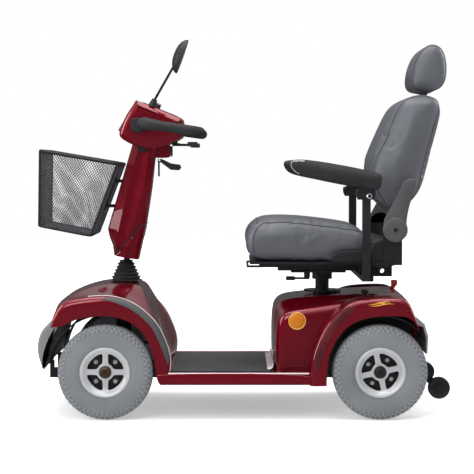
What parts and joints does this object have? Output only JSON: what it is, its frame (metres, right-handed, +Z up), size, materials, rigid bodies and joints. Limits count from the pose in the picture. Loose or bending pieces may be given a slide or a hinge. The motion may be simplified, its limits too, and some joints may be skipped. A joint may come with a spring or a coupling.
{
  "type": "mobility scooter",
  "caption": "Four-wheeled mobility scooter with steered tiller, loop handlebar, mesh basket, swivelling padded armchair, anti-tip wheels and an open flat footwell",
  "frame": {"origin": "on the ground under the middle of the vehicle", "axes": "+X towards the rear (the scooter drives towards -X), +Y to the rider's right, +Z up"},
  "size_m": [1.318, 0.63, 1.1974],
  "materials": {
    "painted_frame": "satin",
    "bright_steel": "satin",
    "red_paint": "metallic lacquer",
    "black_plastic": "fine grain",
    "dark_trim": "fine grain",
    "bumper_grey": "fine grain",
    "floor_rubber": "ribbed",
    "boot_rubber": "matte",
    "grey_tyre": "matte",
    "cast_alloy": "bright cast",
    "amber_lens": "clear amber",
    "lamp_lens": "smoked",
    "battery_case": "moulded",
    "gearbox_metal": "cast",
    "grey_vinyl": "soft grain",
    "soft_black": "grained",
    "mirror_back": "glossy",
    "mesh_wire": "powder coat",
    "red_button": "glossy",
    "controller_case": "anodised"
  },
  "bodies": {
    "chassis": {"chassis_frame": "painted_frame", "front_axle_beam": "painted_frame", "floor_pan": "red_paint", "floor_mat": "floor_rubber", "front_cowl": "red_paint", "cowl_trim": "dark_trim", "front_bumper": "bumper_grey", "rear_bumper": "bumper_grey", "wheel_liners": "black_plastic", "rear_body": "red_paint", "reflectors": "amber_lens", "batteries": "battery_case", "motor_controller": "controller_case", "drive_unit": "gearbox_metal", "anti_tip_frame": "painted_frame", "seat_post": "painted_frame"},
    "knuckle_left": {"knuckle_left": "painted_frame"},
    "knuckle_right": {"knuckle_right": "painted_frame"},
    "tie_rod": {"tie_rod": "bright_steel"},
    "steering": {"steering_shaft": "bright_steel", "tiller_boot": "boot_rubber"},
    "tiller": {"tiller_column": "painted_frame", "tiller_front_cover": "red_paint", "tiller_rear_cover": "red_paint", "console_housing": "red_paint", "headlamp": "lamp_lens", "dash_panel": "black_plastic", "handlebar": "soft_black"},
    "throttle": {"throttle_lever": "black_plastic"},
    "dial": {"speed_dial": "black_plastic"},
    "key": {"ignition_key": "bright_steel"},
    "horn": {"horn_button": "red_button"},
    "tilt_lever": {"tilt_lever": "black_plastic"},
    "charge_flap": {"charge_flap": "black_plastic"},
    "mirror_arm": {"mirror_arm": "black_plastic"},
    "mirror_head": {"mirror_head": "mirror_back"},
    "basket": {"basket": "mesh_wire"},
    "freewheel_lever": {"freewheel_lever": "red_button"},
    "swivel": {"swivel_plate": "painted_frame"},
    "swivel_lever": {"swivel_lever": "black_plastic"},
    "seat": {"seat_frame": "painted_frame", "seat_cushion": "grey_vinyl", "armrest_posts": "painted_frame"},
    "slide_bar": {"slide_bar": "bright_steel"},
    "recline_lever": {"recline_lever": "black_plastic"},
    "armrest_left": {"armrest_left": "soft_black"},
    "armrest_right": {"armrest_right": "soft_black"},
    "backrest": {"backrest": "grey_vinyl", "recliner_covers": "black_plastic"},
    "headrest": {"headrest": "grey_vinyl"},
    "anti_tip_left": {"anti_tip_wheel_left": "boot_rubber"},
    "anti_tip_right": {"anti_tip_wheel_right": "boot_rubber"},
    "front_left_wheel": {"front_left_tyre": "grey_tyre", "front_left_rim": "cast_alloy"},
    "front_right_wheel": {"front_right_tyre": "grey_tyre", "front_right_rim": "cast_alloy"},
    "rear_left_wheel": {"rear_left_tyre": "grey_tyre", "rear_left_rim": "cast_alloy"},
    "rear_right_wheel": {"rear_right_tyre": "grey_tyre", "rear_right_rim": "cast_alloy"}
  },
  "joints": [
    {"name": "steer", "type": "hinge", "parent": "chassis", "child": "steering", "pos_m": [-0.388, 0, 0.3], "axis": [0, 0, 1], "range_deg": [-28, 28]},
    {"name": "king_pin_left", "type": "hinge", "parent": "chassis", "child": "knuckle_left", "pos_m": [-0.4346, -0.2, 0.15], "axis": [0, 0, 1], "range_deg": [-28, 28]},
    {"name": "king_pin_right", "type": "hinge", "parent": "chassis", "child": "knuckle_right", "pos_m": [-0.4346, 0.2, 0.15], "axis": [0, 0, 1], "range_deg": [-28, 28]},
    {"name": "tie_rod_swing", "type": "hinge", "parent": "steering", "child": "tie_rod", "pos_m": [-0.308, 0, 0.2], "axis": [0, 0, 1], "range_deg": [-28, 28]},
    {"name": "front_left_spin", "type": "hinge", "parent": "knuckle_left", "child": "front_left_wheel", "pos_m": [-0.4346, -0.262, 0.15], "axis": [0, -1, 0], "continuous": true},
    {"name": "front_right_spin", "type": "hinge", "parent": "knuckle_right", "child": "front_right_wheel", "pos_m": [-0.4346, 0.262, 0.15], "axis": [0, -1, 0], "continuous": true},
    {"name": "rear_left_spin", "type": "hinge", "parent": "chassis", "child": "rear_left_wheel", "pos_m": [0.4284, -0.262, 0.15], "axis": [0, -1, 0], "continuous": true},
    {"name": "rear_right_spin", "type": "hinge", "parent": "chassis", "child": "rear_right_wheel", "pos_m": [0.4284, 0.262, 0.15], "axis": [0, -1, 0], "continuous": true},
    {"name": "anti_tip_left_spin", "type": "hinge", "parent": "chassis", "child": "anti_tip_left", "pos_m": [0.625, -0.19, 0.088], "axis": [0, -1, 0], "continuous": true},
    {"name": "anti_tip_right_spin", "type": "hinge", "parent": "chassis", "child": "anti_tip_right", "pos_m": [0.625, 0.19, 0.088], "axis": [0, -1, 0], "continuous": true},
    {"name": "freewheel", "type": "hinge", "parent": "chassis", "child": "freewheel_lever", "pos_m": [0.451, 0, 0.322], "axis": [0, -1, 0], "range_deg": [0, 20]},
    {"name": "tiller_tilt", "type": "hinge", "parent": "steering", "child": "tiller", "pos_m": [-0.388, 0, 0.47], "axis": [0, -1, 0], "range_deg": [-6, 25], "deforming": ["tiller_boot"]},
    {"name": "throttle", "type": "hinge", "parent": "tiller", "child": "throttle", "pos_m": [-0.222, 0, 0.866], "axis": [0, 0, 1], "range_deg": [-18, 18], "stiffness_Nm_per_rad": 1},
    {"name": "dial_turn", "type": "hinge", "parent": "tiller", "child": "dial", "pos_m": [-0.2874, 0, 0.99384], "axis": [0.3762, 0, 0.9265], "range_deg": [0, 270]},
    {"name": "key_turn", "type": "hinge", "parent": "tiller", "child": "key", "pos_m": [-0.2874, 0.048, 0.99384], "axis": [0.3762, 0, 0.9265], "range_deg": [0, 60]},
    {"name": "horn_press", "type": "slide", "parent": "tiller", "child": "horn", "axis": [-0.3762, 0, -0.9265], "range_m": [0, 0.0018], "stiffness_N_per_m": 400},
    {"name": "tilt_release", "type": "hinge", "parent": "tiller", "child": "tilt_lever", "pos_m": [-0.277, 0, 0.816], "axis": [0, 1, 0], "range_deg": [0, 18], "stiffness_Nm_per_rad": 1, "springref_deg": -11.46},
    {"name": "charge_flap_open", "type": "hinge", "parent": "tiller", "child": "charge_flap", "pos_m": [-0.2365, 0, 0.8285], "axis": [0, 1, 0], "range_deg": [0, 110]},
    {"name": "mirror_turn", "type": "hinge", "parent": "tiller", "child": "mirror_arm", "pos_m": [-0.297, -0.08, 0.9894], "axis": [0.3762, 0, 0.9265], "range_deg": [-30, 30]},
    {"name": "mirror_twist", "type": "hinge", "parent": "mirror_arm", "child": "mirror_head", "pos_m": [-0.224, -0.19, 1.108], "axis": [0.4008, -0.6891, 0.6037], "range_deg": [-25, 25]},
    {"name": "basket_lift", "type": "slide", "parent": "tiller", "child": "basket", "axis": [-0.342, 0, 0.9397], "range_m": [0, 0.15]},
    {"name": "seat_swivel", "type": "hinge", "parent": "chassis", "child": "swivel", "pos_m": [0.261, 0, 0.452], "axis": [0, 0, 1], "range_deg": [-90, 90]},
    {"name": "swivel_release", "type": "hinge", "parent": "swivel", "child": "swivel_lever", "pos_m": [0.206, -0.108, 0.433], "axis": [0, 0, 1], "range_deg": [0, 15], "stiffness_Nm_per_rad": 1},
    {"name": "seat_slide", "type": "slide", "parent": "swivel", "child": "seat", "axis": [-1, 0, 0], "range_m": [-0.06, 0.06]},
    {"name": "slide_release", "type": "hinge", "parent": "seat", "child": "slide_bar", "pos_m": [0.057, 0, 0.4725], "axis": [0, 1, 0], "range_deg": [0, 8], "stiffness_Nm_per_rad": 2, "springref_deg": -11.46},
    {"name": "recline", "type": "hinge", "parent": "seat", "child": "backrest", "pos_m": [0.477, 0, 0.596], "axis": [0, -1, 0], "range_deg": [-30, 55]},
    {"name": "recline_release", "type": "hinge", "parent": "seat", "child": "recline_lever", "pos_m": [0.477, 0, 0.596], "axis": [0, 1, 0], "range_deg": [0, 20], "stiffness_Nm_per_rad": 1, "springref_deg": -11.46},
    {"name": "headrest_rise", "type": "slide", "parent": "backrest", "child": "headrest", "axis": [0.2385, 0, 0.9711], "range_m": [0, 0.06]},
    {"name": "armrest_left_lift", "type": "hinge", "parent": "seat", "child": "armrest_left", "pos_m": [0.391, -0.284, 0.703], "axis": [0, 1, 0], "range_deg": [0, 90]},
    {"name": "armrest_right_lift", "type": "hinge", "parent": "seat", "child": "armrest_right", "pos_m": [0.391, 0.284, 0.703], "axis": [0, 1, 0], "range_deg": [0, 90]}
  ],
  "couplings": [
    {"joint": "king_pin_left", "follows": "steer", "ratio": 1},
    {"joint": "king_pin_right", "follows": "steer", "ratio": 1},
    {"joint": "tie_rod_swing", "follows": "steer", "ratio": -1}
  ]
}
